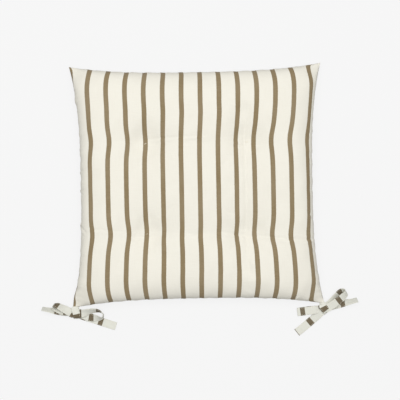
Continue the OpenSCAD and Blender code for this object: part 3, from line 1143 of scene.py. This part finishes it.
    def smooth_pad(self, u: np.ndarray, v: np.ndarray) -> tuple[np.ndarray, np.ndarray]:
        """Points of the top and the underside before the cloth settles.

        Height is the seam's height plus the fullness, which is a superellipse across both ways
        raised to a power below a half and flattened in the four ears, less the channels and a
        bell round each tuft.

        Args:
            u: Place across the plan, from -1 to 1.
            v: Place along the plan, from -1 to 1.

        Returns:
            Two grids of points that share their border.
        """
        px, py = self.plan(u, v)
        seam = self.corner_z + (self.seam_z - self.corner_z) * (1 - np.abs(u * v) ** 3)
        across, along = 1 - np.abs(u) ** self.edge_power, 1 - np.abs(v) ** self.edge_power
        full = np.clip(across * along, 0, 1) ** self.round_power
        from_corner = np.hypot((1 - np.abs(u)) * self.half_w, (1 - np.abs(v)) * self.half_d)
        full = full * (1 - self.ear_flat * np.exp(-((from_corner / self.ear_reach) ** 2)))
        top = seam + full * (self.crown - self.seam_z - self.trough(px, py))
        bell, level = self.tuft_bell(px, py, self.tuft_reach, 3)
        top = top + (level - top) * bell
        under = seam - full * (self.seam_z + self.belly)
        bell, level = self.tuft_bell(px, py, self.under_reach, 2)
        under = under + (level - under) * bell
        return np.stack([px, py, top], axis=-1), np.stack([px, py, under], axis=-1)

    def spread_cloth(self, face: int) -> tuple[np.ndarray, np.ndarray]:
        """Place on the plan for each point of the cloth, so that no part of it is stretched.

        The cloth's lines are moved along the smooth pad until each row, and then each column,
        is cut into lengths in the proportion of the flat cloth. A little cloth is gathered
        close to the side seams, and more of it towards the corners. The front of the cloth
        has drifted a little to the right, between seams that hold it.

        Args:
            face: 0 for the top, 1 for the underside.

        Returns:
            u and v of each point.
        """
        u, v = self.x.copy(), self.y.copy()
        rows = {spot[1] / self.half_d for spot in self.tufts.values()}
        near = sum(np.exp(-(((self.y - row) / 0.09) ** 2)) for row in sorted(rows))
        seam_side = np.abs(self.y) ** 24
        ends = self.y**4 * (1 - 3.2 * seam_side)
        gather = self.gather_sides + self.gather_ends * ends + self.gather_tufts * near
        free = 1 - np.abs(self.x) ** self.gather_power
        front = np.clip((self.y - 0.30) / 0.35, 0, 1)
        drift = self.front_drift * front**2 * (3 - 2 * front) * (1 - 1.2 * seam_side)
        wanted = self.x * (1 - gather * free) + drift * free
        for _ in range(4):
            points = self.smooth_pad(u, v)[face]
            u = self.even_rows(points, u, wanted)
            points = self.smooth_pad(u, v)[face].transpose(1, 0, 2)
            v = self.even_rows(points, v.T, self.y.T).T
        return u, v

    @staticmethod
    def even_rows(points: np.ndarray, place: np.ndarray, wanted: np.ndarray) -> np.ndarray:
        """Moves each row's points along it until their distances follow the wanted ones."""
        steps = np.linalg.norm(np.diff(points, axis=1), axis=2)
        lengths = np.concatenate([np.zeros((len(points), 1)), np.cumsum(steps, axis=1)], axis=1)
        share = 2 * lengths / lengths[:, -1:] - 1
        rows = [np.interp(goal, have, row) for goal, have, row in zip(wanted, share, place)]
        return np.stack(rows)

    def pins(self, px: np.ndarray, py: np.ndarray) -> np.ndarray:
        """Points that stay put while the cloth settles: the seam and the tufts' stitches."""
        held = (np.abs(self.x) > 0.9999) | (np.abs(self.y) > 0.9999)
        for tx, ty, *_ in self.tufts.values():
            held |= np.hypot(px - tx, py - ty) < self.pinned
        return held

    def settle(self, top: np.ndarray, under: np.ndarray) -> tuple[np.ndarray, np.ndarray]:
        """Lets the cloth, cut to its flat size, settle round the push of the wadding.

        Args:
            top: Starting points of the top.
            under: Starting points of the underside.

        Returns:
            The settled points of both.
        """
        rows, cols = self.x.shape
        count = rows * cols
        border = (np.abs(self.x) > 0.9999) | (np.abs(self.y) > 0.9999)
        number = np.arange(count).reshape(rows, cols)
        under_number = np.where(border, number, 0)
        under_number[~border] = count + np.arange(int((~border).sum()))
        points = np.concatenate([top.reshape(-1, 3), under[~border]])
        quads = lay_grid(rows, cols)
        faces = np.concatenate([quads, under_number.ravel()[quads][:, ::-1]])
        blank = make_piece("cover_blank", points, faces)
        blank.shape_key_add(name="Basis")
        flat = np.stack([self.x * self.flat_w / 2, self.y * self.flat_d / 2, self.x * 0], axis=-1)
        cut = np.concatenate([flat.reshape(-1, 3), flat[~border]])
        cut[count:, 2] = -0.001
        key = blank.shape_key_add(name="flat_cut")
        key.data.foreach_set("co", cut.ravel())
        key.value = 0.0
        held = blank.vertex_groups.new(name="held")
        pins = self.pins(top[..., 0], top[..., 1])
        numbers = np.concatenate([number[pins], under_number[pins & ~border]])
        held.add(numbers.tolist(), 1.0, "REPLACE")
        cloth = blank.modifiers.new("settle", "CLOTH")
        settings = cloth.settings
        settings.quality = 8
        settings.mass = 0.15
        settings.air_damping = 1.0
        settings.tension_stiffness = settings.compression_stiffness = 40.0
        settings.shear_stiffness = 12.0
        settings.bending_stiffness = 0.6
        settings.vertex_group_mass = held.name
        settings.rest_shape_key = key
        settings.use_pressure = True
        settings.uniform_pressure_force = self.pressure
        settings.effector_weights.gravity = 0.0
        cloth.collision_settings.use_collision = False
        cloth.point_cache.frame_end = self.frames
        scene = bpy.context.scene
        for frame_number in range(1, self.frames + 1):
            scene.frame_set(frame_number)
        shaped = blank.evaluated_get(bpy.context.evaluated_depsgraph_get())
        settled = np.empty(len(points) * 3, np.float32)
        shaped.data.vertices.foreach_get("co", settled)
        settled = settled.reshape(-1, 3).astype(float)
        bpy.data.objects.remove(blank)
        scene.frame_set(1)
        move = settled - points
        length = np.linalg.norm(move, axis=1, keepdims=True)
        log.info("cloth settled: mean move %.1f mm, most %.1f mm", length.mean() / MM, length.max() / MM)
        settled = points + move * np.minimum(1, self.most_move / np.maximum(length, 1e-9))
        new_under = settled[under_number.ravel()].reshape(rows, cols, 3)
        return settled[:count].reshape(rows, cols, 3), new_under

    def edge_distance(self) -> np.ndarray:
        """Distance from the seam along the flat cloth."""
        across = (1 - np.abs(self.x)) * self.flat_w / 2
        along = (1 - np.abs(self.y)) * self.flat_d / 2
        return np.minimum(across, along)

    def creased(self, points: np.ndarray, folds: Sequence[Fold]) -> np.ndarray:
        """Presses folds into a panel: each is a narrow valley with a low bank on one side."""
        normals = grid_normals(points)
        s, t = self.x * self.flat_w / 2, self.y * self.flat_d / 2
        depth = np.zeros_like(s)
        for fold in folds:
            start, end = np.array(fold.start), np.array(fold.end)
            run = end - start
            share = ((s - start[0]) * run[0] + (t - start[1]) * run[1]) / (run @ run)
            off = ((s - start[0]) * run[1] - (t - start[1]) * run[0]) / np.linalg.norm(run)
            along = np.clip(share, 0, 1)
            fade = np.sqrt(np.sin(np.pi * np.clip(along, 0.02, 0.98)))
            past = np.abs(share - along) * np.linalg.norm(run)
            fade = fade * np.exp(-((past / fold.width) ** 2))
            valley = np.exp(-((off / fold.width) ** 2))
            bank = 0.45 * np.exp(-(((off - 1.9 * fold.width) / (1.3 * fold.width)) ** 2))
            depth += fold.depth * fade * (bank - valley)
        return points + normals * depth[..., None]

    def puckered(self, points: np.ndarray, seed: int) -> np.ndarray:
        """Gathers the cloth along the seam: short ripples square to the edge that die inwards."""
        draw = np.random.default_rng(seed)
        s, t = self.x * self.flat_w / 2, self.y * self.flat_d / 2
        edges = ((1 - np.abs(self.x)) * self.flat_w / 2, t), ((1 - np.abs(self.y)) * self.flat_d / 2, s)
        height = np.zeros_like(s)
        for away, along in edges:
            ripple = np.zeros_like(s)
            for wavelength in (0.0075, 0.011, 0.017, 0.026):
                phase, drift = draw.uniform(0, 2 * np.pi, 2)
                wander = 1 + 0.8 * np.sin(along / 0.031 + drift)
                ripple += wander * np.sin(2 * np.pi * along / wavelength + phase) * wavelength
            start = 1 - np.exp(-away / 0.002)
            height += ripple * 0.016 * start * np.exp(-away / 0.011)
        return points + grid_normals(points) * height[..., None]

    def nipped(self, points: np.ndarray) -> np.ndarray:
        """Lets the left seam jut out in small nips, each a bell along the edge, dying inwards."""
        t = self.y * self.flat_d / 2
        away = (1 + self.x) * self.flat_w / 2
        out = np.zeros_like(t)
        for place, reach, jut in self.nips:
            out += jut * np.exp(-(((t - place) / reach) ** 2))
        moved = points.copy()
        moved[..., 0] -= out * np.exp(-((away / self.nip_depth) ** 2))
        return moved

    def lumpy(self, points: np.ndarray, seed: int) -> np.ndarray:
        """Lets lumps of wadding show: broad low swells, none at the seam."""
        draw = np.random.default_rng(seed)
        s, t = self.x * self.flat_w / 2, self.y * self.flat_d / 2
        height = np.zeros_like(s)
        for wavelength in (0.028, 0.036, 0.047, 0.060, 0.085):
            for turn in draw.uniform(0, np.pi, 2):
                phase = draw.uniform(0, 2 * np.pi)
                height += np.sin(2 * np.pi * (s * np.cos(turn) + t * np.sin(turn)) / wavelength + phase)
        inside = 1 - np.exp(-((self.edge_distance() / 0.02) ** 2))
        return points + grid_normals(points) * (height * 0.00013 * inside)[..., None]

    def shape(self) -> tuple[np.ndarray, np.ndarray]:
        """Final outer points of the top and the underside."""
        top = self.smooth_pad(*self.spread_cloth(0))[0]
        under = self.smooth_pad(*self.spread_cloth(1))[1]
        top, under = self.settle(top, under)
        top, under = self.finer(top), self.finer(under)
        self.lay_out(top.shape[1], top.shape[0])
        top, under = self.nipped(top), self.nipped(under)
        folds = [
            Fold((-0.205, -0.004), (-0.186, -0.006), 0.0010, 0.0016),
            Fold((-0.205, 0.026), (-0.190, 0.025), 0.0008, 0.0016),
            Fold((-0.205, -0.060), (-0.186, -0.072), 0.0014, 0.0018),
            Fold((-0.186, -0.064), (-0.120, -0.070), 0.0008, 0.0015),
            Fold((-0.130, -0.080), (-0.060, -0.081), 0.0008, 0.0015),
            Fold((-0.090, 0.072), (0.020, 0.078), 0.0009, 0.0016),
            Fold((-0.150, 0.066), (-0.080, 0.071), 0.0005, 0.0015),
            Fold((0.030, -0.074), (0.100, -0.084), 0.0012, 0.0018),
            Fold((0.098, -0.080), (0.205, -0.088), 0.0018, 0.0020),
            Fold((0.184, -0.044), (0.205, -0.062), 0.0013, 0.0018),
            Fold((0.080, 0.120), (0.081, -0.150), 0.0012, 0.0028),
            Fold((0.150, -0.190), (0.162, -0.172), 0.0012, 0.0018),
            Fold((0.184, -0.180), (0.176, -0.196), 0.0014, 0.0016),
        ]
        top = self.lumpy(self.puckered(self.creased(top, folds), 11), 5)
        under_folds = [Fold((-0.19, 0.05), (-0.09, 0.075), 0.0008), Fold((0.09, -0.08), (0.2, -0.05), 0.0008)]
        under = self.puckered(self.creased(under, under_folds), 23)
        lift = self.gap / 2 * np.exp(-((self.edge_distance() / 0.003) ** 2))
        top[..., 2] += lift
        under[..., 2] -= lift
        soft = 0.0012
        under[..., 2] = (under[..., 2] + np.sqrt(under[..., 2] ** 2 + soft**2)) / 2
        return top, under

    def panel(self, name: str, points: np.ndarray, flip: bool, cloth: bpy.types.Material) -> object:
        """Makes one panel: the outer face, smooth-shaded and given the cloth's thickness inwards.

        Args:
            name: The panel's node name.
            points: Grid of its outer points.
            flip: Whether its outer face looks down.
            cloth: The panel's material.

        Returns:
            The panel.
        """
        rows, cols = points.shape[:2]
        faces = lay_grid(rows, cols)
        mapped = corner_map(np.linspace(0, 1, cols), np.linspace(0, 1, rows))
        if flip:
            faces, mapped = faces[:, ::-1], mapped[:, ::-1]
        panel = make_piece(f"striped_{name}", points, faces, mapped)
        wall = panel.modifiers.new("cloth_thickness", "SOLIDIFY")
        wall.thickness = self.cloth
        wall.offset = -1.0
        dress(panel, cloth, "pad", name)
        log.info("%s: %d points", name, rows * cols)
        return panel

    def wadding(self, top: np.ndarray, under: np.ndarray, fibre: bpy.types.Material) -> object:
        """Fills the cover: both faces moved inwards past the cloth, joined round their border."""
        inset, thinnest = 0.0018, 0.0012
        keep = slice(6, -6)
        upper = (top - grid_normals(top) * inset)[keep, keep]
        lower = (under + grid_normals(under) * inset)[keep, keep]
        thin = upper[..., 2] - lower[..., 2] < thinnest
        middle = (upper + lower) / 2
        upper[thin] = middle[thin] + [0, 0, thinnest / 2]
        lower[thin] = middle[thin] - [0, 0, thinnest / 2]
        rows, cols = upper.shape[:2]
        quads = lay_grid(rows, cols)
        number = np.arange(rows * cols).reshape(rows, cols)
        ring = np.concatenate([number[0], number[1:, -1], number[-1, -2::-1], number[-2:0:-1, 0]])
        after = np.roll(ring, -1)
        shift = rows * cols
        wall = np.stack([after, ring, ring + shift, after + shift], axis=-1)
        faces = np.concatenate([quads, quads[:, ::-1] + shift, wall])
        points = np.concatenate([upper.reshape(-1, 3), lower.reshape(-1, 3)])
        filling = make_piece("wadding", points, faces)
        dress(filling, fibre, "pad", "filling")
        return filling

    def seam_line(self, top: np.ndarray, under: np.ndarray) -> np.ndarray:
        """The seam between the panels, counter-clockwise from the rear left corner."""
        middle = (top + under) / 2
        sides = [middle[0], middle[1:, -1], middle[-1, -2::-1], middle[-2::-1, 0]]
        return np.concatenate(sides)

    @staticmethod
    def sew(name: str, node: str, parts: tuple, thread: bpy.types.Material) -> bpy.types.Object:
        """Makes a piece of thread that rides on the pad and stands for a node."""
        return dress(make_piece(name, *parts), thread, "pad", node)

    def seam(self, line: np.ndarray, thread: bpy.types.Material) -> bpy.types.Object:
        """Lockstitch in the seam: stitches along the seam's line, just inside the edge."""
        pitch, length, inset, radius, arch = 0.0027, 0.0021, 0.0004, 0.0003, 0.0002
        total = arc_length(line)[-1]
        first = np.arange(int(total / pitch)) * pitch
        starts, ends = at_distance(line, first), at_distance(line, first + length)
        run = unit(ends - starts)
        out = unit(np.cross(run, np.array([0.0, 0.0, 1.0])))
        parts = stitches(starts - out * inset, ends - out * inset, out, radius, arch)
        return self.sew("seam_lockstitch", "seam_thread", parts, thread)

    def closing(self, line: np.ndarray, thread: bpy.types.Material) -> bpy.types.Object:
        """Hand stitches that close the gap in the rear seam, slanting from panel to panel."""
        low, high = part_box("closing_stitch")
        pitch, reach, proud, radius, arch = 0.0042, 0.0012, 0.0001, 0.00028, 0.0004
        along = np.arange(low.x + pitch, high.x - pitch, pitch)
        rear = line[: self.x.shape[1]]
        y = np.interp(along, rear[:, 0], rear[:, 1])
        z = np.interp(along, rear[:, 0], rear[:, 2])
        starts = np.stack([along, y + proud, z + reach], axis=-1)
        ends = np.stack([along + pitch * 0.45, y + proud, z - reach], axis=-1)
        out = np.tile([0.0, -1.0, 0.0], (len(along), 1))
        parts = stitches(starts, ends, out, radius, arch)
        return self.sew("closing_stitches", "closing_stitch", parts, thread)

    def tuft(self, name: str, thread: bpy.types.Material) -> bpy.types.Object:
        """Doubled thread through the pad: two loops pulled tight on both faces, and cut tails."""
        tx, ty, low, high = self.tufts[name]
        spot, up_z = np.array([tx, ty, 0.0]), np.array([0, 0, 1.0])
        first_turn = 0.35 if "left" in name else -0.3
        loops = []
        for turn, reach in ((first_turn, 0.0017), (first_turn + 0.55, 0.0014)):
            flat = np.array([np.cos(turn), np.sin(turn), 0.0])
            heights = np.array([high + 0.0001, high - 0.0001, high - 0.004, (low + high) / 2])
            outs = np.array([reach * 0.55, reach, reach * 0.6, reach * 0.25])
            under_heights = np.array([low + 0.004, low - 0.0004, low - 0.0006])
            under_outs = np.array([reach * 0.6, reach, reach * 0.55])
            out = flat * np.concatenate([outs, under_outs])[:, None]
            rise = up_z * np.concatenate([heights, under_heights])[:, None]
            right, left = spot + out + rise, spot - out + rise
            path = spline(np.concatenate([right, left[::-1], right[:1]]), 10)
            loops.append(plied_thread(path, np.cross(flat, up_z), *self.tuft_loop))
        for way in (0.9, 2.4):
            flat = np.array([np.cos(way), np.sin(way), 0.0])
            fall = up_z * (low - np.array([0.0008, 0.0016, 0.0030, 0.0038]))[:, None]
            outs = np.array([0.0, 0.0022, 0.0052, 0.0095])
            points = spot + fall + flat * outs[:, None]
            loops.append(plied_thread(spline(points, 8), np.array([0.2, 0.1, 1.0]), *self.tuft_tail))
        return self.sew(f"{name}_loops", name, joined(loops), thread)

    def build(self, cloth: bpy.types.Material, thread: bpy.types.Material, fibre: object) -> None:
        """Builds the panels, the wadding, the seams and the tufts."""
        top, under = self.shape()
        self.panel("top_panel", top, False, cloth)
        self.panel("bottom_panel", under, True, cloth)
        self.wadding(top, under, fibre)
        line = self.seam_line(top, under)
        self.seam(line, thread)
        self.closing(line, thread)
        for name in self.tufts:
            self.tuft(name, thread)


def main() -> None:
    """Builds the studio, the ties and the pad, in that order."""
    logging.basicConfig(level=logging.INFO, format="%(name)s: %(message)s")
    Studio().build()
    effects = SharedEffects()
    pad = Pad()
    # The straps are the cover's own cloth. Their cream and brown are set darker and greyer than the cover's
    # as painted shade.
    strap_cloth_painted_shade = StripedCotton(
        "strap_cotton",
        (Strap.map_length, Strap.map_length),
        cream=linear(221, 222, 213),
        brown=linear(62, 52, 38),
    ).material(effects)
    cover_cloth = StripedCotton(
        "striped_cotton",
        (pad.flat_w, pad.flat_d),
        (-pad.flat_w / 2, -pad.flat_d / 2),
        first=0.0055,
    ).material(effects)
    thread = CottonThread("cotton_thread").material(effects)
    fibre = Wadding("polyester_wadding").material(effects)
    for tie in tie_pair():
        tie.build(strap_cloth_painted_shade, thread)
        log.info("%s tie built", tie.side.word)
    pad.build(cover_cloth, thread, fibre)


if __name__ == "__main__":
    main()
